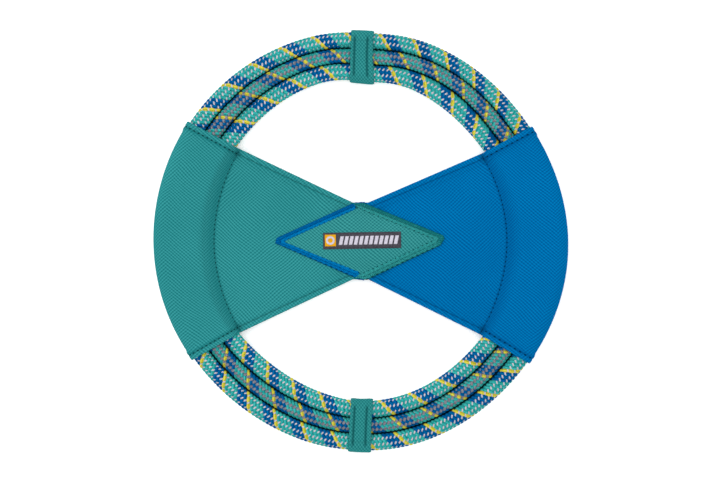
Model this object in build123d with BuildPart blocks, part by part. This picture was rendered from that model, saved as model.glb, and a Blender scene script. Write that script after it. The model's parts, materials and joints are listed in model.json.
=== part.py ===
"""Soft flying ring: three braided ropes in one flat ring, held by two cloth wraps and a
bow-tie of folded cloth with a stitched diamond patch and a woven label at its middle.

The ring lies flat on Z = 0 with its middle on the Z axis. +Y runs to the top wrap and the
label reads along +X. All sizes are millimetres.
"""

from build123d import *
from math import asin, atan2, cos, degrees, hypot, radians, sin
import os

os.makedirs("parts", exist_ok=True)

# ---------------------------------------------------------------- driving dimensions

ring_radius = 118.0  # outermost reach of the ropes
outer_rope_diameter = 9.4
middle_rope_diameter = 9.0
inner_rope_diameter = 10.0
rope_gap = 0.1  # between neighbouring ropes
sheath_wall = 1.4
core_clearance = 0.05

cloth = 0.8  # one layer of the bow-tie cloth
hem_proud = 0.45  # extra height where the cloth is turned in
wrap_thickness = 1.25  # the two plies of a folded wrap
fit_gap = 0.05  # between a rope and the cloth round it

seam_radius = 84.8  # where the two layers of a sleeve come together
seam_stitch_radius = 83.3
web_radius = 84.7  # of the flat double cloth, just inside the seam
waist_half_width = 4.5
waist_half_height = 21.8
straight_hem = 6.0
mouth_hem = 5.5
hem_stitch_inset = 2.9

patch_half_length = 48.4
patch_half_height = 21.8
patch_tip = 2.0  # half height of the blunt left and right tips
trim_width = 3.8
trim_height = 1.2
trim_meeting = -3.5  # x where the blue strip ends and the teal one starts

label_length = 44.8
label_width = 9.2
label_height = 0.5
label_corner = 0.4
label_stitch_end = 1.5  # from a short end of the label to its last stitch
label_stitch_edge = 0.7  # from the label's edge to the stitches beside it

wrap_width = 13.8
wrap_stitch_offset = 3.7
wrap_sweep = 12.0  # degrees of ring, before the wrap is cut to width

joint_length = 12.0  # of the tape round each rope's butted ends
joint_depth = 0.5
joint_slit = 0.3

stitch_pitch = 2.8
stitch_length = 2.1
stitch_width = 0.5
stitch_height = 0.25
groove_width = 0.7
groove_depth = 0.35

# ------------------------------------------------------------------- derived dimensions

outer_rope_radius = ring_radius - outer_rope_diameter / 2
middle_rope_radius = ring_radius - outer_rope_diameter - rope_gap - middle_rope_diameter / 2
inner_rope_radius = (
    middle_rope_radius - middle_rope_diameter / 2 - rope_gap - inner_rope_diameter / 2
)
cavity_half = inner_rope_diameter / 2 + fit_gap
middle_height = wrap_thickness + cavity_half  # of every rope's centre line and of the web
total_height = 2 * middle_height
sleeve_outer_centre = ring_radius + fit_gap - cavity_half
flank_angle = asin(cavity_half / (inner_rope_radius - seam_radius))
hem_thickness = cloth + hem_proud
web_top = middle_height + cloth
web_bottom = middle_height - cloth
rope_spread = sleeve_outer_centre - inner_rope_radius
wrap_middle = (inner_rope_radius + sleeve_outer_centre) / 2
beyond_ring = 1.2 * ring_radius  # far enough out to be clear of every sleeve

# The four corners of each panel: where a mouth meets the straight edge, and where it
# meets the ring's outer edge. The hand-sewn corners differ by a few millimetres.
corners = {
    "left": {
        "inner_top": (-71.5, 53.6),
        "outer_top": (-99.6, 68.6),
        "outer_bottom": (-96.9, -68.2),
        "inner_bottom": (-69.3, -52.4),
    },
    "right": {
        "inner_top": (69.7, 50.0),
        "outer_top": (98.7, 65.6),
        "outer_bottom": (97.0, -70.1),
        "inner_bottom": (69.3, -53.7),
    },
}
sides = {"left": -1, "right": 1}
ends = {"top": 1, "bottom": -1}


def radial_plane(angle):
    """Plane through the Z axis: local x runs outwards at the angle, local y is +Z."""
    a = radians(angle)
    return Plane(origin=(0, 0, 0), x_dir=(cos(a), sin(a), 0), z_dir=(sin(a), -cos(a), 0))


def towards(start, end):
    """Unit vector from start to end, and the distance between them."""
    dx, dy = end[0] - start[0], end[1] - start[1]
    length = hypot(dx, dy)
    return dx / length, dy / length, length


def stitches_on_line(start, end, height):
    """Stitch places spread along a straight line at one height."""
    ux, uy, length = towards(start, end)
    count = int(length // stitch_pitch)
    first = (length - (count - 1) * stitch_pitch) / 2
    turn = degrees(atan2(uy, ux))
    steps = [first + i * stitch_pitch for i in range(count)]
    return [Location((start[0] + s * ux, start[1] + s * uy, height), (0, 0, turn)) for s in steps]


def stitches_on_arc(radius, first_angle, last_angle, height):
    """Stitch places spread along an arc about the ring's middle."""
    count = int(radians(last_angle - first_angle) * radius // stitch_pitch)
    step = (last_angle - first_angle) / count
    places = []
    for i in range(count):
        a = first_angle + (i + 0.5) * step
        x, y = radius * cos(radians(a)), radius * sin(radians(a))
        places.append(Location((x, y, height), (0, 0, a + 90)))
    return places


def sew(name, places):
    """One node of separate thread stitches."""
    with BuildPart() as thread:
        with Locations(*places):
            Box(stitch_length, stitch_width, stitch_height)
    thread.part.label = name
    export_step(thread.part, f"parts/{name}.step")


# ------------------------------------------------------------------------------- ropes
# Each rope is a braided sheath over a soft core, bent into a ring and butted end to end
# inside the right sleeve, where a tight tape holds the two ends.

ropes = {
    "outer": (outer_rope_radius, outer_rope_diameter / 2, -7.0),
    "middle": (middle_rope_radius, middle_rope_diameter / 2, 0.0),
    "inner": (inner_rope_radius, inner_rope_diameter / 2, 8.0),
}

for name, (bend, section, joint_angle) in ropes.items():
    slit_angle = degrees(joint_slit / bend)
    tape_angle = degrees(joint_length / bend)
    groove_angle = degrees((joint_length + 2 * fit_gap) / bend)
    bore = section - sheath_wall

    with BuildPart() as sheath:
        with BuildSketch(radial_plane(joint_angle + slit_angle / 2)):
            with Locations((bend, middle_height)):
                Circle(section)
                Circle(bore, mode=Mode.SUBTRACT)
        revolve(axis=Axis.Z, revolution_arc=360 - slit_angle)
        with BuildSketch(radial_plane(joint_angle - groove_angle / 2)):
            with Locations((bend, middle_height)):
                Circle(section + fit_gap)
                Circle(section - joint_depth, mode=Mode.SUBTRACT)
        revolve(axis=Axis.Z, revolution_arc=groove_angle, mode=Mode.SUBTRACT)
    sheath.part.label = f"{name}_rope_sheath"
    export_step(sheath.part, f"parts/{name}_rope_sheath.step")

    with BuildPart() as core:
        with BuildSketch(radial_plane(joint_angle + slit_angle / 2)):
            with Locations((bend, middle_height)):
                Circle(bore - core_clearance)
        revolve(axis=Axis.Z, revolution_arc=360 - slit_angle)
    core.part.label = f"{name}_rope_core"
    export_step(core.part, f"parts/{name}_rope_core.step")

    with BuildPart() as tape:
        with BuildSketch(radial_plane(joint_angle - tape_angle / 2)):
            with Locations((bend, middle_height)):
                Circle(section)
                Circle(section - joint_depth + fit_gap, mode=Mode.SUBTRACT)
        revolve(axis=Axis.Z, revolution_arc=tape_angle)
    tape.part.label = f"{name}_rope_joint_tape"
    export_step(tape.part, f"parts/{name}_rope_joint_tape.step")


# ------------------------------------------------------------------------------ panels
# Each panel is one cloth folded round the ropes. Its two layers come together at a curved
# seam just inside the ropes and run on as a flat double web to the middle of the ring.


def sleeve_outline(layer):
    """Section of the sleeve, at a distance outside the space that the ropes fill."""
    reach = cavity_half + layer
    tip = seam_radius - layer / sin(flank_angle)
    half = flank_angle / 2
    inner, outer, mid = inner_rope_radius, sleeve_outer_centre, middle_height
    with BuildSketch() as outline:
        with BuildLine():
            for up in (1, -1):
                shoulder = (inner - reach * sin(flank_angle), mid + up * reach * cos(flank_angle))
                bend = (inner - reach * sin(half), mid + up * reach * cos(half))
                Line((tip, mid), shoulder)
                ThreePointArc(shoulder, bend, (inner, mid + up * reach))
                Line((inner, mid + up * reach), (outer, mid + up * reach))
            ThreePointArc((outer, mid + reach), (outer + reach, mid), (outer, mid - reach))
        make_face()
    return outline.sketch


def beyond(start, end, distance):
    """The point a distance past the end of the line from start to end."""
    ux, uy, _ = towards(start, end)
    return end[0] + distance * ux, end[1] + distance * uy


def hem_band(start, end, inward, width):
    """Outline of a hem: a strip of the given width on the inner side of an edge."""
    ux, uy, _ = towards(start, end)
    nx, ny = (-uy, ux) if (-uy * inward[0] + ux * inward[1]) > 0 else (uy, -ux)
    step = (width * nx, width * ny)
    return [
        start,
        end,
        (end[0] + step[0], end[1] + step[1]),
        (start[0] + step[0], start[1] + step[1]),
    ]


def seam_angles(side):
    """The seam's first and last angle, from one straight edge of the panel to the other."""
    corner = corners[side]
    low = degrees(atan2(abs(corner["inner_bottom"][1]), abs(corner["inner_bottom"][0])))
    high = degrees(atan2(abs(corner["inner_top"][1]), abs(corner["inner_top"][0])))
    if side == "right":
        return -low, high
    return 180 - high, 180 + low


for side, sign in sides.items():
    corner = corners[side]
    mouths = {
        end: (corner[f"inner_{end}"], corner[f"outer_{end}"]) for end in ends
    }
    waists = {end: (sign * waist_half_width, ends[end] * waist_half_height) for end in ends}
    half_plane = radial_plane(-90 * sign)

    with BuildPart() as mouth_hems:
        with BuildSketch(half_plane):
            add(sleeve_outline(hem_thickness))
            add(sleeve_outline(0), mode=Mode.SUBTRACT)
        revolve(axis=Axis.Z, revolution_arc=180)
        with BuildSketch(Plane.XY):
            for end, (near, far) in mouths.items():
                tip = beyond(near, far, straight_hem)
                Polygon(*hem_band(near, tip, (0, -ends[end]), mouth_hem), align=None)
        extrude(amount=total_height, mode=Mode.INTERSECT)

    with BuildPart() as panel:
        with BuildSketch(half_plane):
            add(sleeve_outline(cloth))
            with Locations((web_radius / 2, middle_height)):
                Rectangle(web_radius, 2 * cloth)
            add(sleeve_outline(0), mode=Mode.SUBTRACT)
        revolve(axis=Axis.Z, revolution_arc=180)
        with BuildSketch(Plane.XY):
            Polygon(
                (0, waist_half_height),
                waists["top"],
                corner["inner_top"],
                beyond(*mouths["top"], straight_hem),
                (sign * beyond_ring, 0),
                beyond(*mouths["bottom"], straight_hem),
                corner["inner_bottom"],
                waists["bottom"],
                (0, -waist_half_height),
                align=None,
            )
        extrude(amount=total_height, mode=Mode.INTERSECT)
        add(mouth_hems.part)
        with BuildSketch(Plane.XY.offset(web_bottom - hem_proud)):
            for end in ends:
                band = hem_band(waists[end], corner[f"inner_{end}"], (0, -ends[end]), straight_hem)
                Polygon(*band, align=None)
            Rectangle(2 * patch_half_length, ring_radius, mode=Mode.SUBTRACT)
        extrude(amount=2 * (cloth + hem_proud))
        for end, (near, far) in mouths.items():
            ux, uy, length = towards(near, far)
            band = hem_band(near, far, (0, -ends[end]), hem_stitch_inset)
            middle = ((band[2][0] + band[3][0]) / 2, (band[2][1] + band[3][1]) / 2)
            turn = degrees(atan2(uy, ux))
            for height in (0, total_height):
                with Locations(Location((*middle, height), (0, 0, turn))):
                    Box(2 * length, groove_width, 2 * groove_depth, mode=Mode.SUBTRACT)
    panel.part.label = f"{side}_panel"
    export_step(panel.part, f"parts/{side}_panel.step")

    seam = []
    first, last = seam_angles(side)
    margin = degrees(straight_hem / seam_stitch_radius)
    for height in (web_top + stitch_height / 2, web_bottom - stitch_height / 2):
        seam += stitches_on_arc(seam_stitch_radius, first + margin, last - margin, height)
    sew(f"{side}_seam_thread", seam)

    hems = []
    flat_start = inner_rope_radius - hypot(*corner["inner_top"]) + stitch_pitch
    flat_end = flat_start + rope_spread - 2 * stitch_pitch
    for end, (near, far) in mouths.items():
        ux, uy, _ = towards(near, far)
        band = hem_band(near, far, (0, -ends[end]), hem_stitch_inset)
        base = band[3]
        line = [(base[0] + s * ux, base[1] + s * uy) for s in (flat_start, flat_end)]
        for height in (total_height - groove_depth / 2, groove_depth / 2):
            hems += stitches_on_line(*line, height)
        band = hem_band(waists[end], corner[f"inner_{end}"], (0, -ends[end]), hem_stitch_inset)
        ux, uy, _ = towards(band[3], band[2])
        skip = (patch_half_length - waist_half_width + stitch_pitch) / abs(ux)
        start = (band[3][0] + skip * ux, band[3][1] + skip * uy)
        finish = (band[2][0] - mouth_hem * ux, band[2][1] - mouth_hem * uy)
        for height in (
            web_top + hem_proud + stitch_height / 2,
            web_bottom - hem_proud - stitch_height / 2,
        ):
            hems += stitches_on_line(start, finish, height)
    sew(f"{side}_hem_thread", hems)


# ------------------------------------------------------------------------------- patch
# A diamond of cloth closes the join of the two panels on each face. Its left edges are
# bound by a blue strip and its right edges by a teal one.

patch_outline = [
    (-patch_half_length, patch_tip),
    (-waist_half_width, patch_half_height),
    (waist_half_width, patch_half_height),
    (patch_half_length, patch_tip),
    (patch_half_length, -patch_tip),
    (waist_half_width, -patch_half_height),
    (-waist_half_width, -patch_half_height),
    (-patch_half_length, -patch_tip),
]
trim_spans = {
    "blue": (-patch_half_length, trim_meeting),
    "teal": (trim_meeting, patch_half_length),
}
faces = {
    "front": (web_top, 1),
    "back": (web_bottom, -1),
}

with BuildSketch() as diamond:
    Polygon(*patch_outline, align=None)

with BuildSketch() as diamond_field:
    add(diamond.sketch)
    offset(amount=-trim_width, kind=Kind.INTERSECTION, mode=Mode.REPLACE)


def edge_stitches(inset, signs, height):
    """Stitches along the slanting edges of the diamond on one side, set in by a distance."""
    places = []
    for sign in signs:
        for end in ends.values():
            tip = (sign * patch_half_length, end * patch_tip)
            corner = (sign * waist_half_width, end * patch_half_height)
            band = hem_band(tip, corner, (-sign, -end), inset)
            ux, uy, _ = towards(band[3], band[2])
            start = (band[3][0] + trim_width * ux, band[3][1] + trim_width * uy)
            finish = (band[2][0] - inset * ux, band[2][1] - inset * uy)
            places += stitches_on_line(start, finish, height)
    return places


for face, (base, up) in faces.items():
    with BuildPart() as patch:
        with BuildSketch(Plane.XY.offset(base)):
            add(diamond_field.sketch)
        extrude(amount=up * cloth)
    patch.part.label = f"{face}_patch"
    export_step(patch.part, f"parts/{face}_patch.step")

    for colour, (start, end) in trim_spans.items():
        with BuildPart() as trim:
            with BuildSketch(Plane.XY.offset(base)):
                add(diamond.sketch)
                add(diamond_field.sketch, mode=Mode.SUBTRACT)
                with Locations(((start + end) / 2, 0)):
                    Rectangle(end - start, 2 * patch_half_height, mode=Mode.INTERSECT)
            extrude(amount=up * trim_height)
        trim.part.label = f"{face}_{colour}_trim"
        export_step(trim.part, f"parts/{face}_{colour}_trim.step")

    seam_height = base + up * (trim_height + stitch_height / 2)
    sew(f"{face}_patch_thread", edge_stitches(trim_width / 2, (-1, 1), seam_height))


# ------------------------------------------------------------------------------- label
# A woven label lies along the patch and is sewn down round its edge.

label_base = web_top + cloth

with BuildPart() as label:
    with BuildSketch(Plane.XY.offset(label_base)):
        RectangleRounded(label_length, label_width, radius=label_corner)
    extrude(amount=label_height)
label.part.label = "label"
export_step(label.part, "parts/label.step")

label_top = label_base + label_height + stitch_height / 2
along = label_length / 2 - label_stitch_end
across = label_width / 2 - label_stitch_edge
label_stitches = []
for sign in (1, -1):
    label_stitches += stitches_on_line((-along, sign * across), (along, sign * across), label_top)
    end_x = sign * (label_length / 2 - label_stitch_edge)
    end_y = across - stitch_width
    label_stitches += stitches_on_line((end_x, -end_y), (end_x, end_y), label_top)
sew("label_thread", label_stitches)


# ------------------------------------------------------------------------------- wraps
# A folded band of cloth binds the three ropes together at the top and at the bottom, with
# two rows of stitches across it that lie in the grooves they pull into the cloth.


def wrap_section(layer):
    """Section of the space round the three ropes, or of a wrap's outside."""
    with BuildSketch() as section:
        with Locations((wrap_middle, middle_height)):
            SlotCenterToCenter(rope_spread, 2 * (cavity_half + layer))
    return section.sketch


for end, sign in ends.items():
    with BuildPart() as wrap:
        with BuildSketch(radial_plane(sign * 90 - wrap_sweep / 2)):
            add(wrap_section(wrap_thickness))
            add(wrap_section(0), mode=Mode.SUBTRACT)
        revolve(axis=Axis.Z, revolution_arc=wrap_sweep)
        with BuildSketch(Plane.XY):
            with Locations((0, sign * wrap_middle)):
                Rectangle(wrap_width, ring_radius)
        extrude(amount=total_height, mode=Mode.INTERSECT)
        groove_places = [
            (x, sign * wrap_middle, height)
            for x in (-wrap_stitch_offset, wrap_stitch_offset)
            for height in (0, total_height)
        ]
        with Locations(*groove_places):
            Box(groove_width, rope_spread, 2 * groove_depth, mode=Mode.SUBTRACT)
    wrap.part.label = f"{end}_wrap"
    export_step(wrap.part, f"parts/{end}_wrap.step")

    rows = []
    reach = rope_spread / 2 - stitch_width
    for x in (-wrap_stitch_offset, wrap_stitch_offset):
        line = ((x, sign * wrap_middle - reach), (x, sign * wrap_middle + reach))
        for height in (groove_depth / 2, total_height - groove_depth / 2):
            rows += stitches_on_line(*line, height)
    sew(f"{end}_wrap_thread", rows)
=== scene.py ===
"""Soft flying ring: braided ropes, folded cloth, stitching, label, floor, light and camera.

Lengths are millimetres until a mesh is made. Angles round the ring are degrees, clockwise
from the top wrap as seen from above.
"""

import json
import bpy
import numpy as np
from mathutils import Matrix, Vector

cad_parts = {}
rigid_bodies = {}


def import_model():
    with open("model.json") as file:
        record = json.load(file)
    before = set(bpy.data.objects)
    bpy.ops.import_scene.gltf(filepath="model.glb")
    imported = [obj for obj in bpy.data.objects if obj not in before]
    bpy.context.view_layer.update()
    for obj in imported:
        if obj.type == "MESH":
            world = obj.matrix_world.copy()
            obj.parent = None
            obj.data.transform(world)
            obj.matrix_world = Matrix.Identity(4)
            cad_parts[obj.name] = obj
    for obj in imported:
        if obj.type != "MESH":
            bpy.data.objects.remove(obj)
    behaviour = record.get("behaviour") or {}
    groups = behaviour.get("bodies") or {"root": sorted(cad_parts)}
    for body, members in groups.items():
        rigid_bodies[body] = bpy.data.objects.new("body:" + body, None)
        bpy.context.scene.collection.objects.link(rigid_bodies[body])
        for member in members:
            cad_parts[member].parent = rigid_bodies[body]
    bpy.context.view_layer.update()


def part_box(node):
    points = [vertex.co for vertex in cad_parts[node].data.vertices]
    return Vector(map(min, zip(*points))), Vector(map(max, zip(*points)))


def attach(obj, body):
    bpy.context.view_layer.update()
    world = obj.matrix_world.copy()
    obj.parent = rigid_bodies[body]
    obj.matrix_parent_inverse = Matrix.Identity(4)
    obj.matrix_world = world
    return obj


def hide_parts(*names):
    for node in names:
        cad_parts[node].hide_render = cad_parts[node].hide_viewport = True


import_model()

# ---------------------------------------------------------------------- the three ropes
# Three round braids of polyester yarn lie side by side in one flat ring. In each, eight
# broad coloured strands wind one way and thin pale yarns wind the other, over and under.

rope_low, rope_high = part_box("outer_rope_sheath")
middle_height = 500 * (rope_low.z + rope_high.z)

# centre radius, half width and half height of each braid
ropes = {
    "outer": (113.32, 5.14, 4.72),
    "middle": (103.92, 4.82, 4.6),
    "inner": (94.45, 5.25, 5.0),
}


def ring_radius(radius, theta):
    """Where a radius of a perfect ring lies on this hand-made one. The ring strays from a circle
    in waves of up to five crests a turn and is drawn in under the top wrap, and its ropes lie
    closer together in some places than in others, in waves of up to four crests, with a slack
    place in the middle rope to the right of the top."""

    def waves(terms):
        return sum(size * np.cos(np.radians(crests * (theta + lag))) for size, crests, lag in terms)

    def near(value, middle, reach):
        return np.exp(-(((value - middle) / reach) ** 2))

    stray = waves(((0.64, 1, -5.1), (1.61, 2, 17.4), (0.21, 3, -4.0), (0.94, 4, 2.5), (0.27, 5, -26.1)))
    from_top = (theta + 180) % 360 - 180
    at_top = near(from_top, 2.5, 9)
    at_bottom = near(theta % 360, 181, 7)
    slack = 1.4 * near(from_top, 31, 15) * near(radius, 102.5, 7)
    spread = waves(((0.020, 1, 166.4), (0.007, 2, 87.6), (0.013, 3, 57.7), (0.027, 4, -39.5)))
    loose = 0.014 + spread + 0.03 * at_top - 0.035 * at_bottom
    return radius + 0.32 + stray - 1.7 * at_top + slack + (radius - 104.5) * loose


def ring_point(radius, theta, height):
    """Point at a radius from the ring's axis, an angle round it and a height."""
    turn = np.radians(theta)
    return np.stack(np.broadcast_arrays(radius * np.sin(turn), radius * np.cos(turn), height), -1)


def on_rope(rope, theta, psi, depth):
    """Point below a rope's surface: psi runs round its oval section, from the top inwards."""
    centre, half_width, half_height = ropes[rope]
    turn = np.radians(psi)
    radius = ring_radius(centre - (half_width - depth) * np.sin(turn), theta)
    return ring_point(radius, theta, middle_height + (half_height - depth) * np.cos(turn))


def unit(vectors):
    """The same directions at length one."""
    return vectors / np.maximum(np.linalg.norm(vectors, axis=-1, keepdims=True), 1e-9)


def running_length(line):
    """Distance along a line of points, at each of them."""
    return np.concatenate([[0], np.cumsum(np.linalg.norm(np.diff(line, axis=0), axis=-1))])


def at_lengths(values, length, places):
    """A line's points, or what is known at them, read off at other places along it."""
    return np.stack([np.interp(places, length, column) for column in values.T], -1)


def grid_faces(rows, columns, ring_of_rows=False, ring_of_columns=False):
    """Four-sided faces between neighbouring points of a grid, numbered row by row."""
    i = np.arange(rows if ring_of_rows else rows - 1)[:, None]
    j = np.arange(columns if ring_of_columns else columns - 1)[None, :]
    after_i = (i + 1) % rows
    after_j = (j + 1) % columns
    corners = (i * columns + j, after_i * columns + j, after_i * columns + after_j, i * columns + after_j)
    return np.stack(np.broadcast_arrays(*corners), -1).reshape(-1, 4)


def make_piece(name, points, faces, material, maps=None):
    """A smooth mesh from points in millimetres; maps holds UV pairs, one for each point."""
    mesh = bpy.data.meshes.new(name)
    mesh.from_pydata((np.asarray(points).reshape(-1, 3) / 1000).tolist(), [], faces)
    corners = np.empty(len(mesh.loops), np.int32)
    mesh.loops.foreach_get("vertex_index", corners)
    for map_name, pairs in (maps or {}).items():
        layer = mesh.uv_layers.new(name=map_name)
        layer.data.foreach_set("uv", pairs.reshape(-1, 2)[corners].astype(np.float32).ravel())
    mesh.polygons.foreach_set("use_smooth", np.ones(len(mesh.polygons), bool))
    mesh.materials.append(material)
    piece = bpy.data.objects.new(name, mesh)
    bpy.context.collection.objects.link(piece)
    return piece


def join_meshes(parts):
    """Points, faces and UV pairs of several meshes as one; each part is such a triple."""
    faces = []
    start = 0
    for points, own_faces, _ in parts:
        faces += [[corner + start for corner in face] for face in own_faces]
        start += len(points)
    return np.concatenate([part[0] for part in parts]), faces, np.concatenate([part[2] for part in parts])


def give_wall(piece, thickness, offset):
    """Thicken a sheet, inwards where offset is -1 and to both sides where it is 0."""
    wall = piece.modifiers.new("wall", "SOLIDIFY")
    wall.thickness = thickness / 1000
    wall.offset = offset
    return wall


def stand_for(piece, node):
    """The piece shows in place of a node and rides on the one body."""
    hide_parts(node)
    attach(piece, "root")


def tube_faces(count, samples, sides):
    """Faces of separate capped tubes, each a run of rings with a point for every side."""
    wall = grid_faces(samples, sides, ring_of_columns=True)
    around = np.arange(sides)
    caps = (around, (samples - 1) * sides + around[::-1])
    faces = []
    for tube in range(count):
        start = tube * samples * sides
        faces += (wall + start).tolist()
        faces += [(cap + start).tolist() for cap in caps]
    return faces


def swept_tubes(path, outward, half_thickness, half_width, sides):
    """Oval tubes along paths: the section lies across the path, its thickness outwards."""
    tangent = unit(np.gradient(path, axis=1))
    outward = unit(outward - tangent * np.sum(outward * tangent, -1, keepdims=True))
    across = np.cross(outward, tangent)[:, :, None]
    turn = (2 * np.pi * np.arange(sides) / sides)[:, None]
    rise = half_thickness * np.cos(turn) * outward[:, :, None]
    return path[:, :, None] + rise + half_width * np.sin(turn) * across


def tube_map(path, sides):
    """UV pairs of tubes: length along the path, and how far round the section."""
    steps = np.linalg.norm(np.diff(path, axis=1), axis=-1)
    length = np.concatenate([np.zeros((len(path), 1)), np.cumsum(steps, axis=1)], axis=1)
    turn = np.arange(sides) / sides
    return np.stack(np.broadcast_arrays(length[:, :, None], turn), -1)


light_level = 1.5  # brightness that a white surface has under the lamps


def dyed(red, green, blue):
    """Reflectance that looks like this 0 to 255 colour in the scene's light."""
    seen = np.array((red, green, blue)) / 255
    linear = np.where(seen > 0.04, ((seen + 0.055) / 1.055) ** 2.4, seen / 12.92)
    return (*(linear / light_level), 1.0)


class Field:
    """A number, colour or vector that varies over a surface. Sums with it are Math nodes."""

    def __init__(self, socket):
        self.socket = socket

    def __add__(self, other):
        return maths("ADD", self, other)

    def __sub__(self, other):
        return maths("SUBTRACT", self, other)

    def __rsub__(self, other):
        return maths("SUBTRACT", other, self)

    def __mul__(self, other):
        return maths("MULTIPLY", self, other)


def feed(socket, value):
    """A number, a tuple or a field goes into a socket."""
    if isinstance(value, Field):
        socket.id_data.links.new(value.socket, socket)
    else:
        socket.default_value = value


def add_node(tree, kind, inputs, **settings):
    """A new node with its settings, and its inputs by name or number."""
    node = tree.nodes.new("ShaderNode" + kind)
    for name, value in settings.items():
        setattr(node, name, value)
    for name, value in inputs.items():
        feed(node.inputs[name], value)
    return node


def maths(operation, *values):
    """The result of a Math node; at least one of the values is a field."""
    tree = next(value.socket.id_data for value in values if isinstance(value, Field))
    return Field(add_node(tree, "Math", dict(enumerate(values)), operation=operation).outputs[0])


def ramp(value, low, high):
    """0 below low, 1 above high, and a smooth step between them."""
    inputs = {"Value": value, "From Min": low, "From Max": high}
    node = add_node(value.socket.id_data, "MapRange", inputs, interpolation_type="SMOOTHSTEP")
    return Field(node.outputs["Result"])


def blend_colours(share, first, second):
    """The first colour where share is 0, the second where it is 1."""
    node = add_node(share.socket.id_data, "Mix", {}, data_type="RGBA")
    for entry, value in ((0, share), (6, first), (7, second)):  # its factor and two colours
        feed(node.inputs[entry], value)
    return Field(node.outputs[2])


def mottle(material, scale, detail=2.0, vector=None):
    """Noise from 0 to 1, in object space unless a vector is given; scale is per metre."""
    tree = material.node_tree
    if vector is None:
        vector = Field(add_node(tree, "TexCoord", {}).outputs["Object"])
    inputs = {"Scale": scale, "Detail": detail, "Vector": vector}
    return Field(add_node(tree, "TexNoise", inputs).outputs["Fac"])


def map_place(material, name):
    """A UV map's place as a vector."""
    return Field(add_node(material.node_tree, "UVMap", {}, uv_map=name).outputs[0])


def read_map(material, name):
    """The two numbers of a UV map."""
    split = add_node(material.node_tree, "SeparateXYZ", {0: map_place(material, name)})
    return Field(split.outputs[0]), Field(split.outputs[1])


def new_finish(name, roughness, specular=0.0):
    """A material, and the Principled shader in it."""
    material = bpy.data.materials.new(name)
    material.use_nodes = True
    shader = material.node_tree.nodes["Principled BSDF"]
    shader.inputs["Roughness"].default_value = roughness
    shader.inputs["Specular IOR Level"].default_value = specular
    return material, shader


def paint(shader, colour, height=None, millimetres=0.0):
    """Give a shader its colour, and bumps that are height times a distance."""
    feed(shader.inputs["Base Color"], colour)
    if height is not None:
        inputs = {"Strength": 1.0, "Distance": millimetres / 1000, "Height": height}
        feed(shader.inputs["Normal"], Field(add_node(shader.id_data, "Bump", inputs).outputs[0]))


def dull_finish(name, roughness, scale, detail, dark, light):
    """One slightly uneven colour."""
    material, shader = new_finish(name, roughness)
    paint(shader, blend_colours(mottle(material, scale, detail), dark, light))
    return material


def yarn_finish(name, shadow, lit, fibres=9.0):
    """Bundled filaments: fine lines wind along the strand, in a slightly uneven colour that
    painted shade nearly blacks out where one rope lies against the next."""
    material, shader = new_finish(name, 0.55)
    along, around = read_map(material, "strand")
    fibre = maths("SINE", (around * fibres + along) * (2 * np.pi))
    uneven = mottle(material, 900, 3.0)
    colour = blend_colours(ramp(fibre * 0.12 + uneven, 0.2, 0.8), shadow, lit)
    # Painted shade: the colour turns nearly black where the rope faces the rope beside it.
    facing_for_shade, _ = read_map(material, "rope_shade")
    colour = blend_colours(ramp(facing_for_shade, 0.87, 0.955) * 0.96, colour, dyed(0, 26, 32))
    paint(shader, colour, fibre + uneven, 0.05)
    return material


yarn_colours = {
    "yellow": yarn_finish("yellow_yarn", dyed(224, 210, 44), dyed(252, 242, 96)),
    "blue": yarn_finish("blue_yarn", dyed(0, 82, 146), dyed(4, 124, 194)),
    "teal": yarn_finish("teal_yarn", dyed(4, 156, 155), dyed(84, 220, 213)),
    "white": yarn_finish("white_yarn", dyed(216, 204, 218), dyed(252, 246, 252), 3.0),
    "grey": yarn_finish("grey_yarn", dyed(120, 120, 132), dyed(172, 172, 182), 5.0),
}

# The braid's inner face: its dark colour is painted shade, for the shade between the strands.
bed_shade_finish = dull_finish("braid_bed_shade", 0.8, 1200, 2.0, dyed(0, 28, 38), dyed(6, 52, 62))
core_finish = dull_finish("rope_core", 0.9, 700, 3.0, dyed(180, 178, 170), dyed(215, 213, 205))
tape_finish = dull_finish("joint_tape", 0.75, 2200, 2.0, dyed(40, 40, 44), dyed(62, 62, 68))

# Each braid shows on two arcs, one round each wrap: degrees for one turn of a strand,
# where the yellow tracer is on top, and how far the pale yarns have turned.
arc_middles = {"top": 0.0, "bottom": 180.0}
arc_reach = 62.0
lay = {
    "outer": {"top": (9.30, -48.88, 12, 0.41), "bottom": (9.32, 130.99, 29, 0.30)},
    "middle": {"top": (10.20, -47.59, 26, 0.41), "bottom": (10.14, 137.89, 15, 0.08)},
    "inner": {"top": (11.14, -44.23, 9, 0.37), "bottom": (11.04, 137.86, 8.5, 0.06)},
}
strand_order = {
    "outer": ["yellow"] + 3 * ["blue"] + 4 * ["teal"],
    "middle": ["yellow"] + 4 * ["teal"] + 3 * ["blue"],
    "inner": ["yellow"] + 4 * ["teal"] + 3 * ["blue"],
}
# half width and half thickness of a strand, and of the yarns that cross it
strand_sizes = {"outer": (1.06, 0.5), "middle": (0.98, 0.5), "inner": (1.14, 0.5)}
crossing_sizes = {"outer": (0.4, 0.28), "middle": (0.88, 0.4), "inner": (0.42, 0.28)}
crossing_pair = {"outer": 4.2, "middle": 0.0, "inner": 4.2}  # degrees to each side
strand_depth = 0.92
strand_rise = 0.3
crossing_rise = {"outer": 0.32, "middle": 0.5, "inner": 0.32}
crossing_set = {"outer": 0.14, "middle": 0.0, "inner": 0.14}  # how much deeper they lie
strand_turn = 360 / 8  # between one of the eight strands and the next
samples_per_turn = 46


def facing(rope, psi):
    """How squarely each place round a rope faces the rope beside it: 1 where they touch."""
    inwards = np.sin(np.radians(psi))
    return {"outer": inwards, "middle": np.abs(inwards), "inner": -inwards}[rope]


def rope_shade_map(rope, psi, sides):
    """UV pairs that give facing at each point of tubes wound along psi, for painted shade."""
    share = np.repeat(facing(rope, psi)[:, :, None], sides, axis=2)
    return np.stack([share, share], -1)


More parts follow.
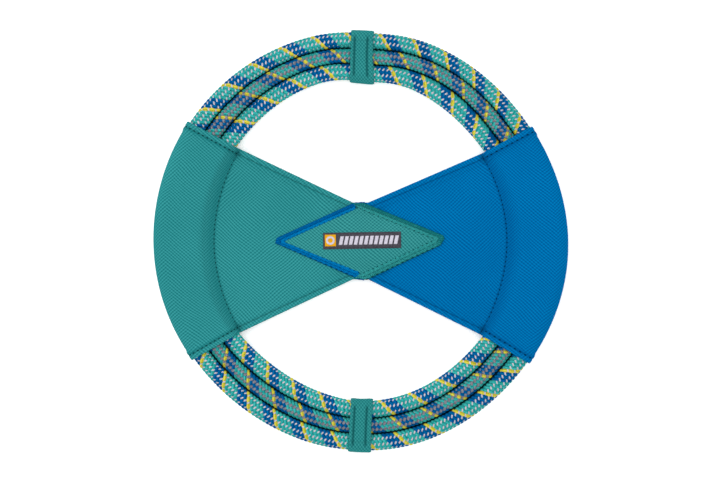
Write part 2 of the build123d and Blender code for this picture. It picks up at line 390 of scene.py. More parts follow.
def held_weave(rope, psi, weave):
    """The weave's rise and fall, held down where the rope presses on the next."""
    pressed = np.clip((facing(rope, psi) - 0.75) / 0.2, 0, 1)
    return weave * (1 - pressed) - pressed


def yarn_tubes(rope, theta, psi, depth, size, sides):
    """Tubes of yarns wound along psi at a depth below the surface, and their maps."""
    path = on_rope(rope, theta, psi, depth)
    axis = on_rope(rope, theta, psi, ropes[rope][1])
    wide, thick = size
    maps = np.stack([tube_map(path, sides), rope_shade_map(rope, psi, sides)], -1)
    return swept_tubes(path, path - axis, thick, wide, sides), maps


bed_rows, bed_sides = 540, 24
bed_depth = 1.5
core_depth = 2.05

for rope in ropes:
    tubes = {}
    for end, (turn_angle, first, twist, twist_slope) in lay[rope].items():
        samples = int(2 * arc_reach / turn_angle * samples_per_turn)
        theta = np.linspace(-arc_reach, arc_reach, samples)[None, :] + arc_middles[end]
        tau = twist + twist_slope * (theta - arc_middles[end])
        winding = 360 * (theta - first) / turn_angle
        weave = np.cos(np.radians(8 * (winding - tau)))

        psi = winding - strand_turn * np.arange(8)[:, None]
        depth = strand_depth + strand_rise * held_weave(rope, psi, weave)
        sections, maps = yarn_tubes(rope, theta, psi, depth, strand_sizes[rope], 8)
        for colour in ("yellow", "blue", "teal"):
            chosen = np.array([kind == colour for kind in strand_order[rope]])
            tubes.setdefault(colour, []).append((sections[chosen], maps[chosen]))

        pair = crossing_pair[rope]
        places = strand_turn * np.arange(8)[:, None]
        if pair:
            places = np.concatenate([places - pair, places + pair])
        psi = 2 * tau - winding + places
        depth = strand_depth + crossing_set[rope]
        depth = depth - crossing_rise[rope] * held_weave(rope, psi, weave)
        colour, sides = ("white", 5) if pair else ("grey", 6)
        crossings = yarn_tubes(rope, theta, psi, depth, crossing_sizes[rope], sides)
        tubes.setdefault(colour, []).append(crossings)

    for colour, arcs in tubes.items():
        points, faces, pairs = join_meshes([
            (sections.reshape(-1, 3), tube_faces(*sections.shape[:3]), maps.reshape(-1, 2, 2))
            for sections, maps in arcs
        ])
        maps = {"strand": pairs[..., 0], "rope_shade": pairs[..., 1]}
        yarn = make_piece(f"{rope}_rope_{colour}_yarn", points, faces, yarn_colours[colour], maps)
        stand_for(yarn, f"{rope}_rope_sheath")

    # Under the strands lies the braid's own inner face, dark with painted shade for the shade
    # between the strands. It fills out inside the sleeves.
    theta = np.linspace(0, 360, bed_rows, endpoint=False)[:, None]
    from_arc = np.minimum(np.abs((theta + 90) % 180 - 90), 90)
    swell = np.clip((from_arc - 56) / 5, 0, 1)
    swell = swell * swell * (3 - 2 * swell)
    psi = (360 * np.arange(bed_sides) / bed_sides)[None, :]
    round_faces = grid_faces(bed_rows, bed_sides, True, True)[:, ::-1].tolist()
    bed_points = on_rope(rope, theta, psi, bed_depth * (1 - 0.9 * swell))
    bed = make_piece(f"{rope}_rope_bed", bed_points, round_faces, bed_shade_finish)
    give_wall(bed, 0.4, -1)
    stand_for(bed, f"{rope}_rope_sheath")

    core_points = on_rope(rope, theta, psi, core_depth)
    core = make_piece(f"{rope}_rope_filler", core_points, round_faces, core_finish)
    stand_for(core, f"{rope}_rope_core")

    # A tape closes the butted ends of the rope inside the right sleeve.
    tape_low, tape_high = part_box(f"{rope}_rope_joint_tape")
    tape_middle = 90 - np.degrees(np.arctan2(tape_low.y + tape_high.y, tape_low.x + tape_high.x))
    theta = np.linspace(-3, 3, 24)[:, None] + tape_middle
    tape_faces = grid_faces(24, bed_sides, False, True)[:, ::-1].tolist()
    tape_points = on_rope(rope, theta, psi, 0.1)
    tape = make_piece(f"{rope}_rope_joint_wrap", tape_points, tape_faces, tape_finish)
    give_wall(tape, 0.3, 0)
    stand_for(tape, f"{rope}_rope_joint_tape")

# ------------------------------------------------------------------- the two cloth panels
# Each panel is one piece of coarse plain-woven cloth, folded round the outside of the ring
# and sewn to itself just inside the ropes. Its cut edges are turned in and stitched down.

cloth_thickness = 0.55
layer_gap = 0.31  # from the middle of the double web to each layer's middle
hem_ply = 0.6  # how far a hem's outer ply stands off the ply under it
hem_end = 5.6
hem_stitch_line = 2.9
hem_pitch = {"left": 2.8, "right": 3.3}  # from one needle hole to the next
seam_pitch = 2.8
waist_half_width = 4.5
waist_half_height = 21.8
seam_middle_radius = 84.0
seam_end_radius = 87.0  # where the seam meets the straight edges, or nearly
seam_round_radius = 86  # that the seam's stitches are counted on
seam_bend = 2.5  # how late the seam leaves its middle radius
waist_rows = np.array([0.1, 1.2, 2.3, 3.4])  # x of the rows between the waist's corners
web_length = 78.0  # along a web row, from the waist to the seam
rope_tuck_radius = 94.1  # past this the sleeve lies on the ropes
sleeve_lift = 0.36  # from a rope's surface to the middle of the cloth on it

panel_corners = {  # of each panel: where its straight edges end, and its mouths' outer ends
    "left": ((-71.5, 53.6), (-99.6, 68.6), (-96.9, -68.2), (-69.3, -52.4)),
    "right": ((69.7, 50.0), (98.7, 65.6), (97.0, -70.1), (69.3, -53.7)),
}


def hem_height(distance):
    """Rise of a hem over the cloth: one ply, drawn down at its stitches, falling off at its end."""
    ply = hem_ply / (1 + np.exp((distance - hem_end) / 0.25))
    return ply - 0.26 * np.exp(-(((distance - hem_stitch_line) / 0.5) ** 2))


def web_wave(x, y):
    """The web's slow waves: crossed sines of 60 to 90 mm, dying away towards the ring."""
    fade = np.clip((86 - np.hypot(x, y)) / 25, 0, 1)
    return fade * (0.35 * np.sin(x / 11 + y / 17) + 0.25 * np.sin(y / 9 - x / 23 + 1.1))


def sleeve_profile():
    """Section of a sleeve's upper half, as (radius, height) at even steps of its length:
    a straight flank up from the seam, then round and over the ropes to the outer edge, with
    every turn softened by averaging over the cloth's stiffness."""

    def round_rope(centre, rope, first, last, count):
        turn = np.radians(np.linspace(first, last, count))
        wide, high = (half + sleeve_lift for half in ropes[rope][1:])
        return np.stack([centre + wide * np.sin(turn), high * np.cos(turn)], -1)

    flank = round_rope(rope_tuck_radius, "inner", -50, 0, 20)
    edge = round_rope(ropes["outer"][0], "outer", 0, 90, 40)
    start = np.array([[seam_middle_radius, layer_gap]])
    line = np.concatenate([start, flank, edge])
    length = running_length(line)
    even = np.linspace(0, length[-1], 500)
    line = at_lengths(line, length, even)
    reach = 40  # steps that the averaging reaches to each side
    weight = np.exp(-((np.arange(-reach, reach + 1) * even[1] / 1.1) ** 2))
    weight /= weight.sum()
    before = 2 * line[0] - line[reach:0:-1]
    before[:, 1] = layer_gap
    after = line[-2:-reach - 2:-1] * (1, -1)
    padded = np.concatenate([before, line, after])
    soft = np.stack([np.convolve(column, weight, "valid") for column in padded.T], -1)
    return even, soft


def hem_columns():
    """A hem across its edge, as (distance in from the edge, height): the turned-in ply from its
    cut end, the round fold, and the outer ply to where the hem ends."""
    inside = np.array([5.0, 4.2, 3.4, 2.9, 2.3, 1.6, 0.9])
    turn = np.radians([-60, -20, 20, 60])
    half = hem_ply / 2
    outside = np.array([0.3, 0.7, 1.2, 1.7, 2.1, 2.5, 2.9, 3.3, 3.7, 4.2, 4.7, 5.2, 5.6, 6.0, 6.6, 7.3])
    distance = np.concatenate([inside, half - half * np.cos(turn), outside])
    height = np.concatenate([hem_height(inside) - hem_ply, half + half * np.sin(turn), hem_height(outside)])
    return distance, height


def build_panel(side, sign):
    """Grid of one panel: rows run from the waist over the ropes and back underneath, columns
    from its top edge to its bottom edge. Returns points, normals and the maps, then the row on
    the seam and how many columns each hem has."""
    near_top, far_top, far_bottom, near_bottom = (np.array(c) for c in panel_corners[side])
    waist = np.array([sign * waist_half_width, waist_half_height])
    steps, profile = sleeve_profile()

    # Where the seam meets each straight edge, and the edge from there on.
    edges = {}
    for end, near, far in ((1, near_top, far_top), (-1, near_bottom, far_bottom)):
        start = waist * (1, end)
        reach = min(seam_end_radius, np.hypot(*near) - 0.6)
        line = np.linspace(start, near, 4000)
        seam_end = line[np.argmin(np.abs(np.hypot(*line.T) - reach))]
        beyond = far + 10 * unit(far - near)
        edge = np.concatenate([np.linspace(seam_end, near, 200), np.linspace(near, beyond, 1500)])
        edges[end] = (seam_end, edge, reach)

    def clock(points):
        return np.degrees(np.arctan2(points[..., 0], points[..., 1]))

    seam_top, edge_top, reach_top = edges[1]
    seam_bottom, edge_bottom, reach_bottom = edges[-1]

    def seam_radius(u):
        high = np.clip(1 - 2 * u, 0, 1) ** seam_bend
        low = np.clip(2 * u - 1, 0, 1) ** seam_bend
        middle = seam_middle_radius
        return middle + (reach_top - middle) * high + (reach_bottom - middle) * low

    from_seam = np.concatenate([
        [0, 0.5, 1, 1.5, 2, 2.6, 3.4, 4.4, 5.5],
        np.linspace(6.7, web_length, 60),
    ])[::-1]
    along = np.concatenate([np.arange(0.5, 6.2, 0.6), np.linspace(6.8, steps[-1], 36)])
    radii = np.interp(along, steps, profile[:, 0])
    heights = np.interp(along, steps, profile[:, 1])
    stretch = (radii - seam_middle_radius) / (rope_tuck_radius - seam_middle_radius)
    wobble_share = np.clip(stretch, 0, 1)

    def sleeve_radius(u):
        start = seam_radius(u)
        tucked = start + stretch[:, None] * (rope_tuck_radius - start)
        return np.where(stretch[:, None] < 1, tucked, radii[:, None])

    def settled(radius, theta):
        return radius + wobble_share[:, None] * (ring_radius(radius, theta) - radius)

    def mouth_angle(edge, u):
        wanted = sleeve_radius(np.full((len(radii), 1), u))
        angle = clock(edge)
        gap = np.hypot(*edge.T) - settled(wanted, angle)
        return np.array([np.interp(0, row, angle) for row in gap])[:, None]

    first = np.concatenate([clock(seam_top)[None, None], mouth_angle(edge_top, 0.0)])
    last = np.concatenate([clock(seam_bottom)[None, None], mouth_angle(edge_bottom, 1.0)])
    if sign < 0:
        last = np.where(last > first, last - 360, last)

    def layer(u):
        """The upper layer's middle surface at shares u of each row, with no hem."""
        rows = len(waist_rows)
        x = sign * waist_rows[:, None]
        y = waist_half_height * (1 - 2 * u[:rows])
        front = np.stack(np.broadcast_arrays(x, y, middle_height + layer_gap), -1)
        v = u[rows:rows + len(from_seam)]
        share = (1 - from_seam / web_length)[:, None, None]
        theta = first[0] + (last[0] - first[0]) * v
        seam_line = ring_point(seam_radius(v), theta, middle_height + layer_gap)
        puff = 0.25 * (1 - np.exp(-from_seam / 3))[:, None] - 0.12 * np.exp(-from_seam / 0.8)[:, None]
        start = np.stack(np.broadcast_arrays(
            sign * waist_half_width, waist_half_height * (1 - 2 * v), middle_height + layer_gap), -1)
        web = start + share * (seam_line - start)
        web[..., 2] += puff * np.clip(from_seam[::-1] / 9, 0, 1)[:, None]
        w = u[rows + len(from_seam):]
        theta = first[1:] + (last[1:] - first[1:]) * w
        radius = settled(sleeve_radius(w), theta)
        sleeve = ring_point(radius, theta, middle_height + heights[:, None])
        return np.concatenate([front, web, sleeve])

    total = len(waist_rows) + len(from_seam) + len(radii)
    sample = layer(np.broadcast_to(np.linspace(0, 1, 60), (total, 60)))
    lengths = np.linalg.norm(np.diff(sample, axis=1), axis=-1).sum(1)[:, None]
    distance, height = hem_columns()
    inner_columns = np.linspace(0, 1, 96)[None, 1:-1]
    middle_share = (distance[-1] + inner_columns * (lengths - 2 * distance[-1])) / lengths
    shares = np.concatenate([distance / lengths, middle_share, 1 - distance[::-1] / lengths], axis=1)
    rise = np.concatenate([height, np.zeros(inner_columns.size), height[::-1]])
    from_edge = np.minimum(shares, 1 - shares) * lengths

    base = layer(shares)
    down = np.gradient(base, axis=0)
    across = layer(np.clip(shares + 0.002, 0, 1)) - layer(np.clip(shares - 0.002, 0, 1))
    normals = -sign * unit(np.cross(down, across))

    flat = base[..., :2].copy()
    past_seam = np.concatenate([np.zeros(total - len(radii)), along])[:, None]
    radius = np.hypot(base[..., 0], base[..., 1])
    developed = np.where(past_seam > 0, seam_radius(np.clip(shares, 0, 1)) + past_seam, radius)
    flat *= (developed / radius)[..., None]

    # The lower layer is the upper one turned over; the two meet at the outer edge.
    turned = base * (1, 1, -1) + (0, 0, 2 * middle_height)
    points = np.concatenate([base, turned[-2::-1]])
    normals = np.concatenate([normals, (normals * (1, 1, -1))[-2::-1]])
    normals[len(base) - 1, :, 2] = 0
    normals = unit(normals)
    points[..., 2] += web_wave(points[..., 0], points[..., 1])
    points = points + rise[:, None] * normals

    def both(values):
        return np.concatenate([values, values[-2::-1]])

    from_seam_signed = np.concatenate([
        -web_length - waist_rows[::-1], -from_seam, along
    ])[:, None] + 0 * shares
    seam_length = seam_round_radius * np.radians(abs(last[0] - first[0])) * shares
    edge_length = running_length(base[:, 0])
    maps = {
        "weave": both(flat),
        "hem": both(np.stack(np.broadcast_arrays(edge_length[:, None], from_edge), -1)),
        "seam": both(np.stack(np.broadcast_arrays(seam_length, from_seam_signed), -1)),
    }
    seam_row = total - len(radii) - 1
    return points, normals, maps, seam_row, len(distance)


def weave_tone(material, warp_pitch, weft_pitch, leaning=None):
    """Plain weave on a cloth map in millimetres: two crossed sets of slanting lines from the
    checkerboard of yarns, in a slowly bent cloth. The falling lines stand out where leaning is
    1, the rising ones where it is -1, and without it each has the upper hand in turn."""
    across, along = read_map(material, "weave")
    place = map_place(material, "weave")
    across = (mottle(material, 0.035, 1.0, place) - 0.5) * 5.0 + across
    along = (mottle(material, 0.05, 1.0, place) - 0.5) * 3.0 + along
    warp = across * (np.pi / warp_pitch)
    weft = along * (np.pi / weft_pitch)
    patches = ramp(mottle(material, 0.032, 1.5, place), 0.38, 0.56) * 2.0 - 1.0
    if leaning is not None:
        own_share, own_leaning = leaning
        patches = maths("SUBTRACT", own_leaning, patches) * own_share + patches
    falling = maths("COSINE", warp + weft) * (patches * 0.075 + 0.18)
    rising = maths("COSINE", warp - weft) * (patches * -0.075 + 0.155)
    return falling + rising + 0.5


def needle_holes(material, map_name, pitch, inset, half_length, half_width):
    """1 in each needle hole of a row of stitches, 0 elsewhere: a mask for painted shade."""
    along, across = read_map(material, map_name)
    place = (maths("FRACT", maths("DIVIDE", along, pitch)) - 0.5) * (pitch / half_length)
    aside = maths("DIVIDE", across - inset, half_width)
    return 1.0 - ramp(maths("SQRT", place * place + aside * aside), 0.55, 1.25)


def stitch_shadow(material, map_name, inset, half_width):
    """Painted shade: 1 along a stitch row, where the cloth is drawn in, fading to 0 at each side."""
    _, across = read_map(material, map_name)
    return 1.0 - ramp(maths("ABSOLUTE", across - inset), 0.0, half_width)


def cloth_finish(name, dark, light, hole, side=None, pitches=(1.12, 0.97), leaning=None, grooved=False):
    """Coarse plain-woven polyester. On a side's panel, the stitch rows have needle holes dark with
    painted shade, and painted shade darkens the cloth in its flank, along its mouths, and where a
    mouth meets the seam and the thread bunches. A grooved cloth has painted shade where its
    stitches draw it in."""
    material, shader = new_finish(name, 0.6)
    if side:
        # On a sleeve the falling lines stand out, but the rising ones beside the seam and
        # round the outer edge; on the web neither.
        _, from_seam = read_map(material, "seam")
        on_sleeve = ramp(from_seam, -1.6, -0.6)
        band = ramp(from_seam, 6.0, 8.0) - ramp(from_seam, 29.0, 31.0)
        leaning = (on_sleeve, band * 1.6 - 0.9)
    tone = weave_tone(material, *pitches, leaning)
    grain = mottle(material, 2600, 2.0) - 0.5
    colour = blend_colours(ramp(grain * 0.5 + tone, 0.0, 1.0), dark, light)
    wear = ramp(mottle(material, 22, 3.0), 0.3, 0.75)
    colour = blend_colours(wear * 0.18, colour, dark)
    height = tone
    if side:
        at_mouth = on_sleeve * 0.62 + 0.38
        seam_holes = needle_holes(material, "seam", seam_pitch, 0.0, 0.5, 0.42)
        hem_holes = needle_holes(material, "hem", hem_pitch[side], hem_stitch_line, 0.8, 0.42)
        holes = maths("MAXIMUM", seam_holes, hem_holes * at_mouth)
        # Painted shade along the seam and the mouths' stitch rows, and on the sloping flank up from the
        # seam.
        hem_shadow = stitch_shadow(material, "hem", hem_stitch_line + 0.5, 2.0) * at_mouth
        drawn = maths("MAXIMUM", stitch_shadow(material, "seam", 0.0, 1.6), hem_shadow)
        flank = on_sleeve * (1.0 - ramp(from_seam, 1.5, 8.0))
        drawn = maths("MAXIMUM", flank * 0.75, drawn)
        colour = blend_colours(drawn * 0.55, colour, dark)
        # Where a mouth meets the seam: thread bunched in layers, darkened further with painted shade.
        corner = stitch_shadow(material, "hem", hem_stitch_line, 4.0)
        bunched_and_shade = stitch_shadow(material, "seam", 0.3, 5.0) * corner * mottle(material, 1300, 1.0)
        colour = blend_colours(bunched_and_shade, colour, hole)
        # Painted shade: the needle holes are painted dark, and the bump dips them too.
        colour = blend_colours(holes * 0.85, colour, hole)
        height = tone - holes * 3.0
    if grooved:
        # Painted shade in the grooves that the stitch rows draw in.
        drawn, _ = read_map(material, "drawn")
        colour = blend_colours(drawn * 1.3, colour, hole)
    paint(shader, colour, height, 0.16)
    return material


panel_cloths = {
    "left": cloth_finish(
        "teal_cloth", dyed(14, 111, 115), dyed(69, 175, 177), dyed(4, 52, 60), "left"),
    "right": cloth_finish(
        "blue_cloth", dyed(0, 84, 146), dyed(0, 138, 208), dyed(0, 26, 52), "right"),
}
panel_lines = {}

for side, sign in (("left", -1), ("right", 1)):
    panel_lines[side] = build_panel(side, sign)
    points, _, maps, _, _ = panel_lines[side]
    faces = grid_faces(*points.shape[:2])[:, ::-sign].tolist()
    panel = make_piece(f"{side}_cloth_panel", points, faces, panel_cloths[side], maps)
    give_wall(panel, cloth_thickness, 0).use_quality_normals = True
    stand_for(panel, f"{side}_panel")

# --------------------------------------------------------------- seam and hem stitches
# Lockstitch in thread dyed to match each cloth. One curved row closes each sleeve just
# inside the ropes; rows along every mouth and straight edge hold the turned-in hems.


def stitch_shape(half_length, radius, sides=6):
    """One stitch along x: rings on a capsule that narrows to a point at each end."""
    rings = np.array([-0.86, -0.5, 0.0, 0.5, 0.86])
    girth = radius * np.sqrt(1 - rings ** 4)
    turn = 2 * np.pi * np.arange(sides) / sides
    x = np.broadcast_to(half_length * rings[:, None], (len(rings), sides))
    wall = np.stack([x, girth[:, None] * np.cos(turn), girth[:, None] * np.sin(turn)], -1)
    tips = np.array([[-half_length, 0, 0], [half_length, 0, 0]])
    faces = grid_faces(len(rings), sides, ring_of_columns=True).tolist()
    last = (len(rings) - 1) * sides
    first_tip = len(rings) * sides
    for k in range(sides):
        after = (k + 1) % sides
        faces.append([first_tip, after, k])
        faces.append([first_tip + 1, last + k, last + after])
    return np.concatenate([wall.reshape(-1, 3), tips]), [face[::-1] for face in faces]


def sew_line(points, outward, length, pitch, lift):
    """Middles and directions of the stitches along a line whose length is given at its
    points: a stitch lies between one needle hole and the next."""
    places = np.arange(np.ceil(length[0] / pitch) + 1, np.floor(length[-1] / pitch)) * pitch
    reach = 0.3 * pitch
    ahead = at_lengths(points, length, places + reach) - at_lengths(points, length, places - reach)
    up = unit(at_lengths(outward, length, places))
    return at_lengths(points, length, places) + lift * up, unit(ahead), up


def make_stitches(name, runs, half_length, radius, material):
    """One piece holding every stitch of the given runs."""
    middle, ahead, up = (np.concatenate(parts) for parts in zip(*runs))
    side = np.cross(up, ahead)
    shape, faces = stitch_shape(half_length, radius)
    points = (
        middle[:, None]
        + shape[:, 0, None] * ahead[:, None]
        + shape[:, 1, None] * side[:, None]
        + shape[:, 2, None] * up[:, None]
    )
    starts = len(shape) * np.arange(len(middle))
    every = [[corner + start for corner in face] for start in starts.tolist() for face in faces]
    return make_piece(name, points, every, material)


def thread_finish(name, dark, light):
    """Twisted sewing thread, a little uneven in colour."""
    material, shader = new_finish(name, 0.6)
    share = mottle(material, 1800, 2.0)
    paint(shader, blend_colours(share, dark, light), share, 0.05)
    return material


threads = {
    "left": thread_finish("teal_thread", dyed(18, 100, 104), dyed(56, 150, 148)),
    "right": thread_finish("navy_thread", dyed(0, 62, 116), dyed(4, 112, 178)),
}
thread_lift = cloth_thickness / 2 + 0.02
needle_gap = 0.35  # from a stitch's end to the middle of its needle hole
stitch_girth = 0.24

for side in ("left", "right"):
    points, normals, maps, seam_row, hem_count = panel_lines[side]
    half_rows = len(points) // 2 + 1
    hem_column = hem_count - 10  # the outer ply's column on the stitch line
    inner = slice(hem_count, -hem_count)
    seam_runs = []
    hem_runs = []
    for face in (slice(0, half_rows), slice(len(points) - 1, half_rows - 2, -1)):
        grid = points[face]
        outward = normals[face]
        length = maps["seam"][face][seam_row, inner, 0]
        line, away = grid[seam_row, inner], outward[seam_row, inner]
        seam_runs.append(sew_line(line, away, length, seam_pitch, thread_lift))
        for column in (hem_column, -1 - hem_column):
            length = maps["hem"][face][:, column, 0]
            line, away = grid[:, column], outward[:, column]
            end = np.argmax(np.hypot(line[:, 0], line[:, 1])) - 2
            run = sew_line(line[:end], away[:end], length[:end], hem_pitch[side], thread_lift)
            hem_runs.append(run)
    for kind, runs, pitch in (("seam", seam_runs, seam_pitch), ("hem", hem_runs, hem_pitch[side])):
        half_length = pitch / 2 - needle_gap
        stitches = make_stitches(
            f"{side}_{kind}_stitches", runs, half_length, stitch_girth, threads[side])
        stand_for(stitches, f"{side}_{kind}_thread")

# ------------------------------------------------------------------------ diamond patches
# A diamond of the teal cloth covers the joint between the panels on each face. Its raw
# edges are bound by strips of cloth: blue to the left, teal to the right, lapping over.


def edge_distance(x, y):
    """Distance from a point of the web in to its nearest straight edge or waist edge."""
    result = np.full(np.shape(x), 99.0)
    for side, sign in (("left", -1), ("right", 1)):
        corners = panel_corners[side]
        for end, near in ((1, corners[0]), (-1, corners[3])):
            start = np.array([sign * waist_half_width, end * waist_half_height])
            ahead = unit(np.array(near) - start)
            inward = (x - start[0]) * ahead[1] - (y - start[1]) * ahead[0]
            inward = inward * sign * end
            beside = sign * x > waist_half_width
            result = np.where(beside, np.minimum(result, inward), result)
    return np.minimum(result, waist_half_height - np.abs(y))


def web_face(x, y, face):
    """Height of the web's outer surface at a point, on the front (1) or the back (-1)."""
    rise = hem_height(np.maximum(edge_distance(x, y), 0.4))
    half = layer_gap + 0.25 + cloth_thickness / 2 + rise
    return middle_height + web_wave(x, y) + face * half


patch_top_edge = np.array([(-45.6, 0.7), (-1.0, 19.4), (1.0, 19.4), (43.6, 1.6)])
patch_bottom_edge = np.array([(-45.6, -1.4), (-1.0, -19.6), (1.0, -19.6), (43.6, -0.6)])
face_signs = {"front": 1, "back": -1}


def patch_height(x, y):
    """How far the patch stands off the web: a low pillow, highest along its middle."""
    top = np.interp(x, *patch_top_edge.T)
    bottom = np.interp(x, *patch_bottom_edge.T)
    share = np.clip((y - bottom) / np.maximum(top - bottom, 0.1), 0, 1)
    pillow = (4 * share * (1 - share)) ** 0.6
    return 0.28 + 0.5 * pillow * np.clip((44 - np.abs(x)) / 20, 0, 1)


patch_cloth = cloth_finish(
    "patch_cloth", dyed(18, 110, 113), dyed(74, 175, 174), dyed(6, 52, 60), leaning=(0.6, 0.6))

for face, up in face_signs.items():
    x = np.linspace(-45.6, 43.6, 84)[:, None]
    share = np.linspace(0, 1, 40)[None, :]
    y = np.interp(x, *patch_bottom_edge.T) * (1 - share) + np.interp(x, *patch_top_edge.T) * share
    x = np.broadcast_to(x, y.shape)
    z = web_face(x, y, up) + up * patch_height(x, y)
    patch = make_piece(
        f"{face}_diamond",
        np.stack([x, y, z], -1),
        grid_faces(84, 40)[:, ::up].tolist(),
        patch_cloth,
        {"weave": np.stack([x, y], -1)},
    )
    give_wall(patch, cloth_thickness, 0)
    stand_for(patch, f"{face}_patch")

binding_pitch = 2.9
# Each binding is given as matching points of its outer and inner edge, end to end.
binding_edges = {
    "blue": (
        ((2.6, 22.45), (2.4, 21.8)),
        ((-3.3, 22.05), (-2.9, 21.4)),
        ((-5.0, 21.3), (-2.7, 18.4)),
        ((-5.8, 20.9), (-4.4, 17.3)),
        ((-48.0, 1.8), (-43.0, -0.1)),
        ((-48.9, -1.3), (-42.8, -0.7)),
        ((-3.6, -20.9), (-1.2, -17.2)),
        ((-3.0, -21.3), (-0.3, -18.0)),
        ((-1.8, -22.1), (-1.4, -21.5)),
        ((2.2, -22.65), (2.0, -22.0)),
    ),
    "teal": (
        ((-5.0, 21.9), (-3.0, 20.2)),
        ((1.7, 21.9), (0.6, 17.6)),
        ((47.4, 3.2), (41.6, 1.1)),
        ((48.2, 1.6), (41.3, 0.6)),
        ((46.0, -2.4), (40.7, 0.2)),
        ((3.6, -22.3), (0.6, -18.3)),
        ((-3.9, -21.5), (-0.6, -18.9)),
    ),
}


def binding_finish(name, dark, light, hole, outer_painted_shade):
    """Narrow cloth binding: fine creases across it that shade its colour too, as painted shade; on
    the upper side an outer half darker with painted shade, as on a fold, and a painted shadow along
    its outer edge; and rows of needle holes, dark with painted shade, along the inner edge and the
    lower side's outer one."""
    material, shader = new_finish(name, 0.6)
    along, across = read_map(material, "strip")
    # The creases shade the colour as well as the surface: painted shade.
    crease_and_shade = maths("SINE", (mottle(material, 500, 2.0) * 1.6 + along) * 6.6)
    lower = ramp(along, 54.0, 60.0)
    # Painted shade: the outer half of the upper part is darker, as on the shaded side of a fold.
    outer = (1.0 - ramp(across, 0.38, 0.62)) * (lower * -0.7 + 1.0)
    tone = crease_and_shade * 0.17 + mottle(material, 1500, 3.0) - outer * outer_painted_shade
    colour = blend_colours(ramp(tone, 0.1, 0.75), dark, light)
    # Painted shadow along the outer edge, where the binding lies on the cloth.
    rim_shadow = 1.0 - ramp(across, 0.02, 0.16)
    colour = blend_colours(rim_shadow * 0.55, colour, dark)
    holes = needle_holes(material, "strip", binding_pitch, 0.9, 0.55, 0.09)
    outer_holes = needle_holes(material, "strip", 3.1, 0.06, 0.9, 0.13) * lower
    # Painted shade: the needle holes are painted dark.
    colour = blend_colours(maths("MAXIMUM", holes, outer_holes) * 0.8, colour, hole)
    paint(shader, colour, tone, 0.2)
    return material


binding_cloths = {
    "blue": binding_finish("blue_binding", dyed(0, 84, 148), dyed(0, 134, 202), dyed(0, 34, 70), 0.26),
    "teal": binding_finish("teal_binding", dyed(14, 106, 108), dyed(60, 166, 164), dyed(4, 48, 54), 0.3),
}


def binding_section():
    """Closed section of a binding, as (share across from the outer edge, height): two soft
    ridges with a drawn-in line between them, and flat underneath."""
    across = np.array([
        0, 0.02, 0.07, 0.14, 0.22, 0.3, 0.37, 0.43, 0.48,
        0.53, 0.6, 0.68, 0.76, 0.84, 0.9, 0.95, 0.99, 1,
    ])
    ridge = 0.85 * (1 - np.abs(2 * across - 1) ** 6) ** 0.5
    groove = 0.38 * np.exp(-(((across - 0.48) / 0.07) ** 2))
    over = np.stack([across, 0.15 + ridge - groove], -1)
    under = np.array([(1, -0.1), (0.75, -0.2), (0.5, -0.2), (0.25, -0.2), (0, -0.1)])
    return np.concatenate([over, under])


def make_binding(name, edges, face, material, lift):
    """Strip between two edge lines, its section carried along them and capped at the ends."""
    outer, inner = (np.array([pair[k] for pair in edges], float) for k in (0, 1))
    knots = running_length((outer + inner) / 2)
    places = np.unique(np.concatenate([np.linspace(0, knots[-1], 150), knots]))
    outer, inner = (at_lengths(line, knots, places) for line in (outer, inner))
    section = binding_section()
    share = section[:, 0, None]
    plan = outer[:, None] * (1 - share) + inner[:, None] * share
    pucker = 0.07 * np.sin(2 * np.pi * places / binding_pitch)[:, None] * np.abs(2 * section[:, 0] - 1)
    flow = plan + (pucker * 0.8)[..., None] * unit(inner - outer)[:, None]
    x, y = flow[..., 0], flow[..., 1]
    z = web_face(x, y, face) + face * (lift + section[:, 1] + pucker)
    points = np.stack([x, y, z], -1)
    rows, columns = x.shape
    faces = grid_faces(rows, columns, ring_of_columns=True)
    around = np.arange(columns)
    every = faces.tolist() + [around.tolist(), ((rows - 1) * columns + around[::-1]).tolist()]
    if face > 0:
        every = [loop[::-1] for loop in every]
    across = np.minimum(section[:, 0], 1)
    maps = np.stack(np.broadcast_arrays(places[:, None], across), -1)
    return make_piece(name, points, every, material, {"strip": maps}), points


binding_lines = {}

for face, up in face_signs.items():
    for colour, edges in binding_edges.items():
        lift = 0.12 if colour == "teal" else 0.0
        binding, binding_lines[face, colour] = make_binding(
            f"{face}_{colour}_binding", edges, up, binding_cloths[colour], lift
        )
        stand_for(binding, f"{face}_{colour}_trim")

# ----------------------------------------------------------------- stitches of the patches
# One row of lockstitch runs along the drawn-in line of each binding and through the web.

binding_centre = 8  # of the binding section's points, the one in its drawn-in line
binding_threads = {
    "blue": thread_finish("blue_binding_thread", dyed(0, 62, 118), dyed(0, 96, 166)),
    "teal": thread_finish("teal_binding_thread", dyed(12, 82, 84), dyed(40, 128, 126)),
}

for face, up in face_signs.items():
    for colour in binding_edges:
        line = binding_lines[face, colour][:, binding_centre]
        outward = np.broadcast_to((0.0, 0.0, float(up)), line.shape)
        run = sew_line(line, outward, running_length(line), binding_pitch, 0.05)
        stitches = make_stitches(
            f"{face}_{colour}_binding_stitches", [run], 1.0, 0.2, binding_threads[colour]
        )
        stand_for(stitches, f"{face}_patch_thread")

# --------------------------------------------------------------------------- woven label
# A folded woven label, dark grey, is sewn along the front patch. Its own ring mark and row
# of slanted bars are woven in, so they stand only a hair above the ground.

label_middle = (0.9, 0.3)
label_turn = np.radians(1.0)
label_size = (44.6, 9.4)


def on_label(x, y, height):
    """Point of the label: x and y along its own sides, and a height above its underside."""
    across = label_middle[0] + x * np.cos(label_turn) - y * np.sin(label_turn)
    along = label_middle[1] + x * np.sin(label_turn) + y * np.cos(label_turn)
    ground = web_face(across, along, 1) + patch_height(across, along) + cloth_thickness / 2
    return np.stack([across, along, ground + height], -1)


